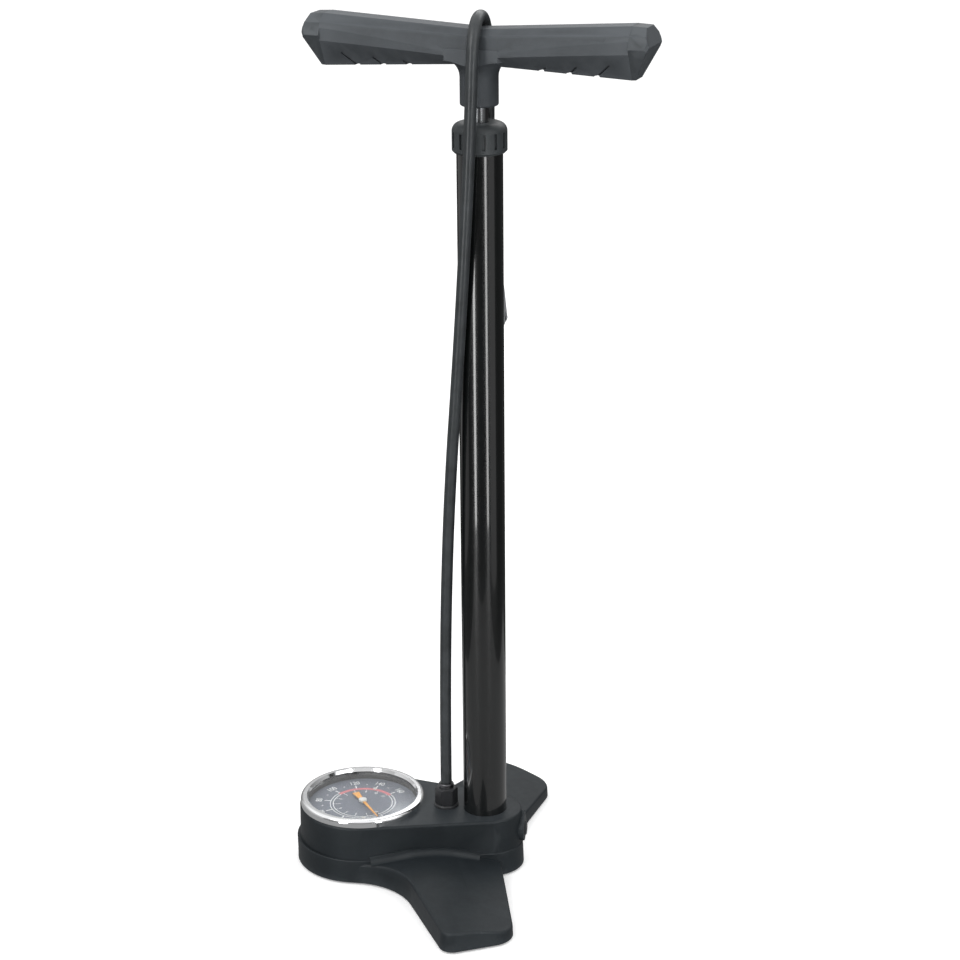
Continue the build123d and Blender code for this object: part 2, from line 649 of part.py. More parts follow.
with BuildPart() as handle_straight:
    add(handle_solid.part)
    fillet(handle_straight.edges().filter_by(lambda e: e.length > 60), 1.2)
    # neck, flared where it meets the arms
    with BuildSketch(Plane.XZ):
        with BuildLine():
            flare = 12.0
            flare_top = (SOCKET_R + flare, 604.0)
            flare_foot = (SOCKET_R, 604.0 - flare)
            flare_mid = (SOCKET_R + flare * (1 - cos(pi / 4)), 604.0 - flare * (1 - sin(pi / 4)))
            Polyline(flare_foot, (SOCKET_R, SOCKET_BOTTOM), (0, SOCKET_BOTTOM), (0, 612.0),
                     (SOCKET_R + flare, 612.0), flare_top)
            ThreePointArc(flare_top, flare_mid, flare_foot)
        make_face()
    revolve(axis=Axis.Z)
    fillet(handle_straight.faces().sort_by(Axis.Z)[0].edges(), 1.6)
    with Locations((0, 0, 600)):
        Box(400, 33.4, 80, mode=Mode.INTERSECT)
    # grip grooves: a slanted slit up each lower facet and a notch across the underside
    for side in (-1, 1):
        for x, slit in GRIP_SLITS:
            for flank in (-1, 1):
                add(groove_cutter(side, flank, x, slit), mode=Mode.SUBTRACT)
            with Locations(Location((side * x, 0, lower_edge(x)[1]), (0, 0, 0))):
                Box(4.2, 60, 2.0, mode=Mode.SUBTRACT)
    # hollow arms, and the pocket of the rod and its nut
    for side in (-1, 1):
        x_rod(7.0, min(side * 34, side * (ARM_L + 1)), max(side * 34, side * (ARM_L + 1)),
              z=612.6, mode=Mode.SUBTRACT)
    bore(ROD_R + FIT, SOCKET_BOTTOM - 1, ROD_TOP + 1)
    bore(10.2, NUT_Z, NUT_Z + NUT_H + 4)
with BuildPart() as handle:
    add(handle_straight.part.rotate(Axis.Z, HANDLE_TURN))
save(handle, "handle")

with BuildPart() as rod_nut:
    with BuildSketch(Plane.XY.offset(NUT_Z)):
        RegularPolygon(8.5, 6, major_radius=False, rotation=HANDLE_TURN)
        Circle(ROD_R + FIT, mode=Mode.SUBTRACT)
    extrude(amount=NUT_H)
save(rod_nut, "rod_nut")


def end_cap():
    """The cap of the +X arm, before it is turned with the handle."""
    nose = HANDLE_L - ARM_L
    with BuildPart() as cap:
        with BuildSketch(Plane.XZ.offset(-20)):
            with BuildLine():
                Polyline((ARM_L, 589.0), (ARM_L + 2.6, 595.0), (HANDLE_L, 618.4),
                         (HANDLE_L - 4.0, 631.2), (ARM_L, 632.0), close=True)
            make_face()
        extrude(amount=40)
        with BuildSketch(Plane.YZ.offset(ARM_L)):
            add(end_face())
        extrude(amount=nose, taper=2.5, mode=Mode.INTERSECT)
        for side in (-1, 1):
            with Locations(Location((HANDLE_L + 1.5, side * 18.5, 610), (0, 0, side * -45))):
                Box(24, 7.0, 60, mode=Mode.SUBTRACT)
        fillet(cap.edges().filter_by(lambda e: e.center().X > ARM_L + 0.6), 0.8)
        x_rod(7.0 - FIT, ARM_L - 12, ARM_L, z=612.6)
        x_rod(5.4, ARM_L - 13, ARM_L + 3, z=612.6, mode=Mode.SUBTRACT)
    return cap.part


def end_face():
    """The arm's end section, a hair smaller, for the cap."""
    with BuildSketch() as face:
        with BuildLine():
            Polyline(*section_points(END_HALF), close=True)
        make_face()
        offset(amount=-0.1)
    return face.sketch


with BuildPart() as end_cap_right:
    add(end_cap().rotate(Axis.Z, HANDLE_TURN))
save(end_cap_right, "end_cap_right")

with BuildPart() as end_cap_left:
    add(end_cap().rotate(Axis.Z, HANDLE_TURN + 180))
save(end_cap_left, "end_cap_left")

# ---------------------------------------------------------------- pump head
HEAD_FRONT = HEAD_X + 5.4          # x of the face that carries the lever
HEAD_BACK = HEAD_X - 10.0          # x of the face that carries the nozzle
MOUTH_X = HEAD_X - 22.5            # x of the nozzle's mouth
PIN_X = HEAD_X + 9.2
PIN_Z = NOZZLE_Z + 1.0
PASSAGE_R = 2.0
VALVE_R = 3.9                      # bore of the grommet, for a 7.7 mm valve stem

with BuildPart() as head_body:
    with Locations(((HEAD_FRONT + HEAD_BACK) / 2, HEAD_Y, NOZZLE_Z + 1)):
        Box(HEAD_FRONT - HEAD_BACK, 17, 28)
    fillet(head_body.edges().filter_by(Axis.Z), 3.0)
    fillet(head_body.faces().sort_by(Axis.Z)[0].edges(), 1.5)
    ring(6.3, 0, NOZZLE_Z, HEAD_TOP, (HEAD_X, HEAD_Y))
    x_rod(8.0, MOUTH_X + 4.5, HEAD_X, HEAD_Y, NOZZLE_Z)
    # lug that the lever straddles
    with Locations(((HEAD_FRONT + PIN_X) / 2 - 1, HEAD_Y, PIN_Z)):
        Box(PIN_X - HEAD_FRONT + 2, 7.6, 6.4)
    with Locations((PIN_X, HEAD_Y, PIN_Z)):
        Cylinder(3.2, 7.6, rotation=(90, 0, 0))
        Cylinder(1.5 + FIT, 20, rotation=(90, 0, 0), mode=Mode.SUBTRACT)
    bore(PASSAGE_R, NOZZLE_Z, HEAD_TOP, (HEAD_X, HEAD_Y))
    x_rod(1.5, MOUTH_X + 14, HEAD_X, HEAD_Y, NOZZLE_Z, Mode.SUBTRACT)
    x_rod(6.0 + FIT, MOUTH_X, MOUTH_X + 14.7, HEAD_Y, NOZZLE_Z, Mode.SUBTRACT)
save(head_body, "head_body")

with BuildPart() as valve_pin:
    x_rod(6.0, MOUTH_X + 13.9, MOUTH_X + 14.7, HEAD_Y, NOZZLE_Z)
    x_rod(1.1, MOUTH_X + 13.7, MOUTH_X + 14, HEAD_Y, NOZZLE_Z)
    for turn in range(4):
        side = 3.6 * cos(turn * pi / 2)
        rise = 3.6 * sin(turn * pi / 2)
        x_rod(0.9, MOUTH_X + 12, MOUTH_X + 16, HEAD_Y + side, NOZZLE_Z + rise, Mode.SUBTRACT)
save(valve_pin, "valve_pin")

with BuildPart() as head_grommet:
    x_rod(6.0, MOUTH_X + 4.5, MOUTH_X + 13.5, HEAD_Y, NOZZLE_Z)
    x_rod(7.8, MOUTH_X + 1.5, MOUTH_X + 4.5, HEAD_Y, NOZZLE_Z)
    x_rod(VALVE_R, MOUTH_X, MOUTH_X + 14, HEAD_Y, NOZZLE_Z, Mode.SUBTRACT)
save(head_grommet, "head_grommet")

with BuildPart() as head_cap:
    x_rod(9.2, MOUTH_X, MOUTH_X + 10, HEAD_Y, NOZZLE_Z)
    chamfer(head_cap.faces().sort_by(Axis.X)[0].edges(), 1.2)
    x_rod(8.0 + FIT, MOUTH_X + 1.5, MOUTH_X + 11, HEAD_Y, NOZZLE_Z, Mode.SUBTRACT)
    x_rod(5.4, MOUTH_X - 1, MOUTH_X + 2, HEAD_Y, NOZZLE_Z, Mode.SUBTRACT)
    for turn in range(16):
        side = 9.3 * cos(turn * pi / 8)
        rise = 9.3 * sin(turn * pi / 8)
        x_rod(0.7, MOUTH_X + 2.5, MOUTH_X + 11, HEAD_Y + side, NOZZLE_Z + rise, Mode.SUBTRACT)
save(head_cap, "head_cap")

with BuildPart() as head_ferrule:
    ring(6.0, HOSE_R + 0.1, HEAD_TOP, HEAD_TOP + 9, (HEAD_X, HEAD_Y))
    chamfer(head_ferrule.faces().sort_by(Axis.Z)[-1].edges().sort_by(SortBy.LENGTH)[-1], 0.8)
save(head_ferrule, "head_ferrule")

with BuildPart() as lever_pin:
    with Locations((PIN_X, HEAD_Y, PIN_Z)):
        Cylinder(1.5, 16, rotation=(90, 0, 0))
save(lever_pin, "lever_pin")

with BuildPart() as head_lever:
    with BuildSketch(Plane.XZ.offset(-HEAD_Y)):
        with BuildLine():
            Polyline((PIN_X, PIN_Z - 2), (PIN_X + 3.6, PIN_Z), (PIN_X + 3.0, 419), (PIN_X + 0.2, 447),
                     (PIN_X - 1.3, 450), (PIN_X - 2.2, 447), (PIN_X - 2.6, 419), (PIN_X - 3.2, PIN_Z),
                     close=True)
        make_face()
        with Locations((PIN_X, PIN_Z)):
            Circle(3.7)
    extrude(amount=8.0, both=True)
    fillet(head_lever.edges().filter_by(Axis.Y).filter_by(lambda e: e.center().Z > 440), 0.7)
    with Locations((PIN_X, HEAD_Y, PIN_Z)):
        Box(12, 8.2, 11, mode=Mode.SUBTRACT)
        Cylinder(1.5 + RUN, 20, rotation=(90, 0, 0), mode=Mode.SUBTRACT)
save(head_lever, "head_lever")

# ---------------------------------------------------------------- hose
HOSE_PATH = [
    (GLAND_X, 0.0, HOSE_START), (GLAND_X, 0.0, 112.0), (-27.3, -2.2, 205.0),
    (-22.4, -8.1, 300.0), (-13.7, -16.4, 400.0), (-7.0, -22.7, 490.0),
    (-2.9, -26.3, 556.0), (-1.2, -27.0, 596.0), (-0.7, -24.6, 618.0),
    (-0.1, -10.8, 631.9), (1.3, 10.8, 631.9), (2.1, 24.9, 618.0),
    (2.6, 27.1, 594.0), (2.4, 28.7, 556.0), (HEAD_X, HEAD_Y, 496.0), (HEAD_X, HEAD_Y, HEAD_TOP)]


def fillet_radii(points):
    """A bend radius at each inner point, as large as the shorter run allows."""
    radii = []
    for before, here, after in zip(points, points[1:], points[2:]):
        run_in = Vector(*here) - Vector(*before)
        run_out = Vector(*after) - Vector(*here)
        turn = radians(run_in.get_angle(run_out))
        radii.append(0.45 * min(run_in.length, run_out.length) / tan(turn / 2))
    return radii


with BuildPart() as hose:
    with BuildLine() as hose_line:
        FilletPolyline(*HOSE_PATH, radius=fillet_radii(HOSE_PATH))
    with BuildSketch(Plane(origin=HOSE_PATH[0], z_dir=(0, 0, 1))):
        Circle(HOSE_R)
    sweep(path=hose_line.line)
save(hose, "hose")

hose_length = sum(edge.length for edge in hose_line.edges())
print("hose bend radii", [round(r, 1) for r in fillet_radii(HOSE_PATH)])
print("hose length", round(hose_length, 1), "mm")
print("hose volume over section x length",
      round(hose.part.volume / (pi * HOSE_R ** 2 * hose_length), 4))
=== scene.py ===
import math

import bmesh
import bpy
from mathutils import Matrix, Vector


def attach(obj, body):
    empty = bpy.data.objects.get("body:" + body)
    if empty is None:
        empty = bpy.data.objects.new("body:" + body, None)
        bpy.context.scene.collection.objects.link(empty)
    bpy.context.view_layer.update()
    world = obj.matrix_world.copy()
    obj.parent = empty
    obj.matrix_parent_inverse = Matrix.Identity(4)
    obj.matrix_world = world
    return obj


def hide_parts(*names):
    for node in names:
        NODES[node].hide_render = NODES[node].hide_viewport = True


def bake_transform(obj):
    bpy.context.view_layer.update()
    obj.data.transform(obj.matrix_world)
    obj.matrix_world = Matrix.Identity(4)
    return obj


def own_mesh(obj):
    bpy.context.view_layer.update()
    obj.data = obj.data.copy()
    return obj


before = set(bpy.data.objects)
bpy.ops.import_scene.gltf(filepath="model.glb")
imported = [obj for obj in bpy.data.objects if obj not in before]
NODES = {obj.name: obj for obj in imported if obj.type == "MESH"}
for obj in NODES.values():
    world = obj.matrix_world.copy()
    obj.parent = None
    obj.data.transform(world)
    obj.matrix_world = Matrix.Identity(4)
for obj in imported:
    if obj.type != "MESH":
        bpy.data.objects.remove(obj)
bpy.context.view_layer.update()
SCENE = bpy.context.scene

# ------------------------------------------------------------------ measures shared with the CAD, in metres
GAUGE = Vector((-0.0932, 0.0, 0.0))
DIAL_TOP = 0.0415              # height of the dial's face
HOSE_D = 0.0084
VIEW_TURN = 8.1                # degrees of the camera round the barrel towards +X


# ------------------------------------------------------------------ camera
def make_camera():
    """The photograph's view: 19 degrees down, the part's right end turned 8 degrees towards it."""
    turn, pitch, roll, yaw = (math.radians(a) for a in (VIEW_TURN, 19.2, 0.496, 0.0624))
    out, height = 1.581, 0.855
    cam = bpy.data.objects.new("camera", bpy.data.cameras.new("camera"))
    SCENE.collection.objects.link(cam)
    cam.data.sensor_width = 36.0
    cam.data.lens = 88.1
    heading = turn + yaw
    forward = Vector((-math.sin(heading) * math.cos(pitch), math.cos(heading) * math.cos(pitch),
                      -math.sin(pitch)))
    right = forward.cross(Vector((0, 0, 1))).normalized()
    up = right.cross(forward)
    up_rolled = up * math.cos(roll) + right * math.sin(roll)
    right_rolled = right * math.cos(roll) - up * math.sin(roll)
    turned = Matrix((right_rolled, up_rolled, -forward)).transposed()
    place = Vector((out * math.sin(turn), -out * math.cos(turn), height))
    cam.matrix_world = Matrix.Translation(place) @ turned.to_4x4()
    cam.data.clip_start, cam.data.clip_end = 0.05, 50
    SCENE.camera = cam


make_camera()


# ------------------------------------------------------------------ material helpers
class Shader:
    """A Principled material and short calls that add nodes to it."""

    def __init__(self, name, color, rough=0.5, metal=0.0, **extra):
        self.mat = bpy.data.materials.new(name)
        self.mat.use_nodes = True
        self.tree = self.mat.node_tree
        self.bsdf = self.tree.nodes["Principled BSDF"]
        self.bsdf.inputs["Base Color"].default_value = (*color, 1)
        self.bsdf.inputs["Roughness"].default_value = rough
        self.bsdf.inputs["Metallic"].default_value = metal
        for key, value in extra.items():
            self.bsdf.inputs[key.replace("_", " ").title().replace("Ior", "IOR")].default_value = value
        self.bumps = []

    def node(self, kind, **props):
        n = self.tree.nodes.new(kind)
        for key, value in props.items():
            setattr(n, key, value)
        return n

    def link(self, a, b):
        self.tree.links.new(a, b)

    def spot(self, stretch=(1, 1, 1)):
        """Object-space position, stretched."""
        coord = self.node("ShaderNodeTexCoord").outputs["Object"]
        mapping = self.node("ShaderNodeMapping")
        mapping.inputs["Scale"].default_value = stretch
        self.link(coord, mapping.inputs["Vector"])
        return mapping.outputs["Vector"]

    def noise(self, scale, detail=3.0, rough=0.55, stretch=(1, 1, 1)):
        n = self.node("ShaderNodeTexNoise")
        n.inputs["Scale"].default_value = scale
        n.inputs["Detail"].default_value = detail
        n.inputs["Roughness"].default_value = rough
        self.link(self.spot(stretch), n.inputs["Vector"])
        return n.outputs["Fac"]

    def cells(self, scale):
        n = self.node("ShaderNodeTexVoronoi", feature="F1")
        n.inputs["Scale"].default_value = scale
        self.link(self.spot(), n.inputs["Vector"])
        return n.outputs["Distance"]

    def ramp(self, value, stops):
        """A colour ramp from (position, colour or grey) stops."""
        n = self.node("ShaderNodeValToRGB")
        while len(n.color_ramp.elements) < len(stops):
            n.color_ramp.elements.new(1.0)
        for element, (position, shade) in zip(n.color_ramp.elements, stops):
            element.position = position
            grey = (shade,) * 3 if isinstance(shade, (int, float)) else tuple(shade)
            element.color = (*grey, 1)
        self.link(value, n.inputs["Fac"])
        return n.outputs["Color"]

    def mix(self, fac, a, b):
        n = self.node("ShaderNodeMix", data_type="RGBA")
        for socket, value in ((n.inputs[0], fac), (n.inputs[6], a), (n.inputs[7], b)):
            if isinstance(value, bpy.types.NodeSocket):
                self.link(value, socket)
            elif isinstance(value, (int, float)):
                socket.default_value = value
            else:
                socket.default_value = (*value, 1)
        return n.outputs[2]

    def colour(self, value):
        self.link(value, self.bsdf.inputs["Base Color"])
        return self

    def roughness(self, value, low, high):
        n = self.node("ShaderNodeMapRange")
        n.inputs["To Min"].default_value = low
        n.inputs["To Max"].default_value = high
        self.link(value, n.inputs["Value"])
        self.link(n.outputs["Result"], self.bsdf.inputs["Roughness"])
        return self

    def bump(self, value, depth, strength=1.0):
        n = self.node("ShaderNodeBump")
        n.inputs["Distance"].default_value = depth
        n.inputs["Strength"].default_value = strength
        self.link(value, n.inputs["Height"])
        if self.bumps:
            self.link(self.bumps[-1].outputs["Normal"], n.inputs["Normal"])
        self.bumps.append(n)
        self.link(n.outputs["Normal"], self.bsdf.inputs["Normal"])
        return self

    def edges(self, low=0.5, high=0.58):
        """1 on raised edges, 0 elsewhere."""
        point = self.node("ShaderNodeNewGeometry").outputs["Pointiness"]
        n = self.node("ShaderNodeMapRange")
        n.inputs["From Min"].default_value = low
        n.inputs["From Max"].default_value = high
        self.link(point, n.inputs["Value"])
        return n.outputs["Result"]


def moulded(name, color, rough=0.5, grain=0.00004, grain_scale=1400, light=1.35, shine=0.3):
    """Injection-moulded plastic: fine spark-eroded grain, a little dust and lighter, rubbed edges."""
    s = Shader(name, color, rough, specular_ior_level=shine)
    mottle = s.noise(60, 4.0, 0.6)
    base = s.ramp(mottle, [(0.3, tuple(c * 0.86 for c in color)), (0.72, tuple(c * 1.14 for c in color))])
    worn = s.mix(s.edges(), base, tuple(min(1, c * light + 0.01) for c in color))
    s.colour(worn)
    s.roughness(s.noise(220, 3.0), rough - 0.06, rough + 0.08)
    s.bump(s.cells(grain_scale), grain, 0.6)
    s.bump(s.noise(grain_scale * 2.2, 2.0), grain * 0.6, 0.5)
    return s.mat


def rubber(name, color, rough=0.6):
    """Matte moulded rubber with a fine, soft grain and a little bloom."""
    s = Shader(name, color, rough, specular_ior_level=0.4)
    s.colour(s.ramp(s.noise(90, 5.0), [(0.3, tuple(c * 0.8 for c in color)),
                                       (0.75, tuple(c * 1.35 for c in color))]))
    s.roughness(s.noise(400, 2.0), rough - 0.08, rough + 0.1)
    s.bump(s.noise(2600, 3.0), 0.00004, 0.5)
    return s.mat


def brushed(name, color, rough=0.3, stretch=(1, 1, 0.02), scale=3000, smudge=0.08):
    """Metal with fine tool marks along one direction."""
    s = Shader(name, color, rough, metal=1.0)
    marks = s.noise(scale, 3.0, 0.6, stretch)
    s.colour(s.ramp(s.noise(35, 4.0), [(0.3, tuple(c * 0.88 for c in color)),
                                       (0.7, tuple(min(1, c * 1.06) for c in color))]))
    s.roughness(marks, rough - smudge, rough + smudge)
    s.bump(marks, 0.000012, 0.5)
    return s.mat


def gloss_paint(name, color):
    """Glossy black lacquer on steel: a clear layer over a slightly uneven coat."""
    s = Shader(name, color, 0.22, coat_weight=1.0, coat_roughness=0.05, specular_ior_level=0.5)
    s.colour(s.ramp(s.noise(40, 4.0), [(0.35, tuple(c * 0.85 for c in color)),
                                       (0.7, tuple(c * 1.2 for c in color))]))
    s.roughness(s.noise(160, 3.0), 0.2, 0.28)
    s.bump(s.noise(420, 2.0), 0.00003, 0.12)
    return s.mat


def chrome(name):
    """Polished plating with faint wipe marks."""
    s = Shader(name, (0.82, 0.83, 0.84), 0.08, metal=1.0)
    s.colour(s.ramp(s.noise(30, 3.0), [(0.3, (0.84, 0.85, 0.86)), (0.7, (0.93, 0.93, 0.94))]))
    s.roughness(s.noise(260, 5.0, 0.7, (1, 1, 0.2)), 0.05, 0.16)
    s.bump(s.noise(700, 2.0), 0.00001, 0.1)
    return s.mat


def clear_lens(name):
    """The gauge's clear cover."""
    s = Shader(name, (0.97, 0.98, 0.98), 0.03, transmission_weight=1.0, ior=1.45)
    s.roughness(s.noise(50, 4.0), 0.02, 0.06)
    s.bump(s.noise(30, 1.0), 0.00002, 0.05)
    return s.mat


def painted(name, color, rough=0.45):
    """A thin even coat, for the dial, its print and the needle."""
    s = Shader(name, color, rough, specular_ior_level=0.4)
    s.colour(s.ramp(s.noise(300, 3.0), [(0.3, tuple(c * 0.92 for c in color)),
                                        (0.7, tuple(min(1, c * 1.06) for c in color))]))
    s.roughness(s.noise(500, 2.0), rough - 0.05, rough + 0.05)
    s.bump(s.noise(1500, 2.0), 0.00001, 0.3)
    return s.mat


def needle_paint(name, color, hub):
    """Painted needle whose round hub is pale."""
    s = Shader(name, color, 0.45, specular_ior_level=0.4)
    split = s.node("ShaderNodeSeparateXYZ")
    s.link(s.spot(), split.inputs[0])
    flat = s.node("ShaderNodeCombineXYZ")
    s.link(split.outputs[0], flat.inputs[0])
    s.link(split.outputs[1], flat.inputs[1])
    gap = s.node("ShaderNodeVectorMath", operation="DISTANCE")
    s.link(flat.outputs[0], gap.inputs[0])
    gap.inputs[1].default_value = (GAUGE.x, GAUGE.y, 0)
    inside = s.node("ShaderNodeMath", operation="LESS_THAN")
    s.link(gap.outputs["Value"], inside.inputs[0])
    inside.inputs[1].default_value = 0.00305
    paint = s.ramp(s.noise(300, 3.0), [(0.3, tuple(c * 0.92 for c in color)),
                                       (0.7, tuple(min(1, c * 1.06) for c in color))])
    s.colour(s.mix(inside.outputs[0], paint, hub))
    s.roughness(s.noise(500, 2.0), 0.4, 0.5)
    s.bump(s.noise(1500, 2.0), 0.00001, 0.3)
    return s.mat


MAT = {
    "abs": moulded("abs", (0.0138, 0.0180, 0.0212), 0.47, shine=0.23),
    "barrel": gloss_paint("barrel", (0.0032, 0.0040, 0.0042)),
    "collar": moulded("collar", (0.043, 0.049, 0.052), 0.42),
    "handle": moulded("handle", (0.063, 0.071, 0.079), 0.52, 0.00005, 1100),
    "cap": moulded("cap", (0.064, 0.072, 0.079), 0.5, 0.00005, 1100),
    "head": moulded("head", (0.026, 0.028, 0.030), 0.4),
    "lever": moulded("lever", (0.26, 0.27, 0.28), 0.42),
    "nut": moulded("nut", (0.018, 0.019, 0.021), 0.36, 0.00002),
    "plug": moulded("plug", (0.018, 0.020, 0.022), 0.32, 0.00002),
    "pom": moulded("pom", (0.62, 0.61, 0.56), 0.4, 0.00001),
    "rubber": rubber("rubber", (0.020, 0.020, 0.021)),
    "hose": rubber("hose", (0.040, 0.045, 0.048), 0.32),
    "rod": brushed("rod", (0.15, 0.155, 0.16), 0.30),
    "zinc": brushed("zinc", (0.62, 0.62, 0.60), 0.34, (1, 1, 1), 900),
    "wire": brushed("wire", (0.60, 0.60, 0.60), 0.3, (1, 1, 1), 1500),
    "black_steel": brushed("black_steel", (0.10, 0.10, 0.105), 0.36, (1, 1, 1), 1200),
    "aluminium": brushed("aluminium", (0.66, 0.67, 0.68), 0.42, (1, 1, 1), 700),
    "brass": brushed("brass", (0.72, 0.53, 0.22), 0.3, (1, 1, 0.1), 1500),
    "bronze": brushed("bronze", (0.58, 0.36, 0.19), 0.34, (1, 1, 0.1), 1500),
    "chrome": chrome("chrome"),
    "lens": clear_lens("lens"),
    "can": painted("can", (0.02, 0.02, 0.021), 0.4),
    "dial": painted("dial", (0.150, 0.166, 0.205), 0.55),
    "white": painted("white", (0.86, 0.87, 0.87), 0.6),
    "pink": painted("pink", (0.66, 0.20, 0.22), 0.6),
    "needle": needle_paint("needle", (0.88, 0.40, 0.07), (0.72, 0.72, 0.70)),
}

# the nodes that each material goes on
LOOK = {
    "abs": ["base_housing", "base_plate"],
    "zinc": ["plate_screws", "dial_screws", "piston_washer", "piston_nut", "rod_nut"],
    "rubber": ["foot_pads", "barrel_gasket", "rod_wiper", "top_bumper", "bottom_bumper", "piston_ring",
               "head_grommet"],
    "aluminium": ["valve_block"],
    "pom": ["check_disc", "rod_bush"],
    "wire": ["check_spring", "needle_stop", "rod_clip", "sector_pin", "lever_pin"],
    "plug": ["valve_plug"],
    "brass": ["hose_barb", "gauge_stem", "movement_frame", "needle_pinion", "sector_gear", "valve_pin"],
    "nut": ["gland_nut", "head_cap"],
    "black_steel": ["hose_ferrule", "head_ferrule"],
    "can": ["gauge_case"],
    "bronze": ["bourdon_tube"],
    "dial": ["gauge_dial"],
    "lens": ["gauge_lens"],
    "chrome": ["gauge_bezel"],
    "barrel": ["barrel"],
    "collar": ["collar_cap"],
    "head": ["head_body", "piston"],
    "rod": ["piston_rod"],
    "handle": ["handle"],
    "cap": ["end_cap_left", "end_cap_right"],
    "needle": ["needle"],
    "lever": ["head_lever"],
}


for look, names in LOOK.items():
    for node in names:
        for slot in NODES[node].material_slots:
            slot.material = MAT[look]
NODES["gauge_lens"].visible_shadow = False


# ------------------------------------------------------------------ piece helpers
def piece(name, mesh, body, mat):
    """A new mesh piece that rides on a body."""
    obj = bpy.data.objects.new(name, mesh)
    SCENE.collection.objects.link(obj)
    obj.data.materials.append(mat)
    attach(obj, body)
    return obj


# ------------------------------------------------------------------ hose
HOSE_PATH = [
    (-0.0292, 0.0, 0.058), (-0.0292, 0.0, 0.112), (-0.0273, -0.0022, 0.205),
    (-0.0224, -0.0081, 0.300), (-0.0137, -0.0164, 0.400), (-0.0070, -0.0227, 0.490),
    (-0.0029, -0.0263, 0.556), (-0.0012, -0.0270, 0.596), (-0.0007, -0.0246, 0.618),
    (-0.0001, -0.0108, 0.6319), (0.0013, 0.0108, 0.6319), (0.0021, 0.0249, 0.618),
    (0.0026, 0.0271, 0.594), (0.0024, 0.0287, 0.556), (0.0, 0.036, 0.496), (0.0, 0.036, 0.456)]


def spline_points(route):
    """The points of the smooth line with the route as its control points."""
    curve = bpy.data.curves.new("route", "CURVE")
    curve.dimensions = "3D"
    spline = curve.splines.new("NURBS")
    spline.points.add(len(route) - 1)
    for point, place in zip(spline.points, route):
        point.co = (*place, 1)
    spline.order_u = 3
    spline.use_endpoint_u = True
    spline.resolution_u = 12
    obj = bpy.data.objects.new("route", curve)
    SCENE.collection.objects.link(obj)
    bpy.context.view_layer.update()
    mesh = bpy.data.meshes.new_from_object(obj)
    points = [v.co.copy() for v in mesh.vertices]
    bpy.data.objects.remove(obj)
    bpy.data.meshes.remove(mesh)
    return points


def tube_mesh(name, points, radius, sides=32):
    """A closed round tube along points, with frames that don't twist."""
    bm = bmesh.new()
    rings = []
    tangent = (points[1] - points[0]).normalized()
    across = tangent.orthogonal().normalized()
    for i, p in enumerate(points):
        ahead = points[min(i + 1, len(points) - 1)] - points[max(i - 1, 0)]
        new_tangent = ahead.normalized()
        across = tangent.rotation_difference(new_tangent) @ across
        tangent = new_tangent
        across = (across - tangent * across.dot(tangent)).normalized()
        side = tangent.cross(across)
        rings.append([bm.verts.new(p + radius * (math.cos(a) * across + math.sin(a) * side))
                      for a in (2 * math.pi * k / sides for k in range(sides))])
    for a, b in zip(rings, rings[1:]):
        for k in range(sides):
            bm.faces.new((a[k], a[(k + 1) % sides], b[(k + 1) % sides], b[k])).smooth = True
    bm.faces.new(reversed(rings[0]))
    bm.faces.new(rings[-1])
    bm.normal_update()
    mesh = bpy.data.meshes.new(name)
    bm.to_mesh(mesh)
    bm.free()
    return mesh


HOSE_LINE = spline_points(HOSE_PATH)
hose = bpy.data.objects.new("hose_tube", tube_mesh("hose_tube", HOSE_LINE, HOSE_D / 2))
SCENE.collection.objects.link(hose)
hose.data.materials.append(MAT["hose"])
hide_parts("hose")
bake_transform(hose)


# ------------------------------------------------------------------ check spring
def make_spring():
    """The check valve's spring, copied from the model onto the base as a fixed piece; in the real valve it
    shortens against the plug as the disc lifts.
    """
    mesh = NODES["check_spring"].data.copy()
    mesh.materials.clear()
    coil = piece("spring_coil", mesh, "base", MAT["wire"])
    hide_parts("check_spring")
    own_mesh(coil)


make_spring()

# ------------------------------------------------------------------ dial print
SCALE_START = -46.0            # direction of the lowest number, in degrees from +X
SCALE_SWEEP = 270.0
ZONE = (39.6, 148.6)           # directions between which the red zone lies
OUTER_STEPS = 8                # steps of 20 on the outer scale
INNER_STEPS = 11               # steps of 1 on the inner scale
OUTER_RING = (0.0242, 0.0248)
INNER_RING = (0.0220, 0.0226)


def on_dial(radius, degrees, z):
    """A point on the dial by radius and direction."""
    a = math.radians(degrees)
    return Vector((GAUGE.x + radius * math.cos(a), GAUGE.y + radius * math.sin(a), z))


def sheet_from(name, loops, z, body, mat):
    """Flat printed marks: each loop is a list of points, filled as one face."""
    bm = bmesh.new()
    for loop in loops:
        bm.faces.new([bm.verts.new((p.x, p.y, z)) for p in loop])
    bmesh.ops.recalc_face_normals(bm, faces=bm.faces)
    for face in bm.faces:
        if face.normal.z < 0:
            face.normal_flip()
    mesh = bpy.data.meshes.new(name)
    bm.to_mesh(mesh)
    bm.free()
    return piece(name, mesh, body, mat)


def arc_band(r_in, r_out, start, end, step=3.0):
    """Quads that fill a ring's segment between two directions."""
    count = max(1, int(abs(end - start) / step))
    quads = []
    for i in range(count):
        a = start + (end - start) * i / count
        b = start + (end - start) * (i + 1) / count
        quads.append([on_dial(r_in, a, 0), on_dial(r_out, a, 0), on_dial(r_out, b, 0), on_dial(r_in, b, 0)])
    return quads


def tick(r_in, r_out, degrees, width):
    """One mark across the scale."""
    a = math.radians(degrees)
    side = Vector((-math.sin(a), math.cos(a), 0)) * width / 2
    inner, outer = on_dial(r_in, degrees, 0), on_dial(r_out, degrees, 0)
    return [inner - side, outer - side, outer + side, inner + side]


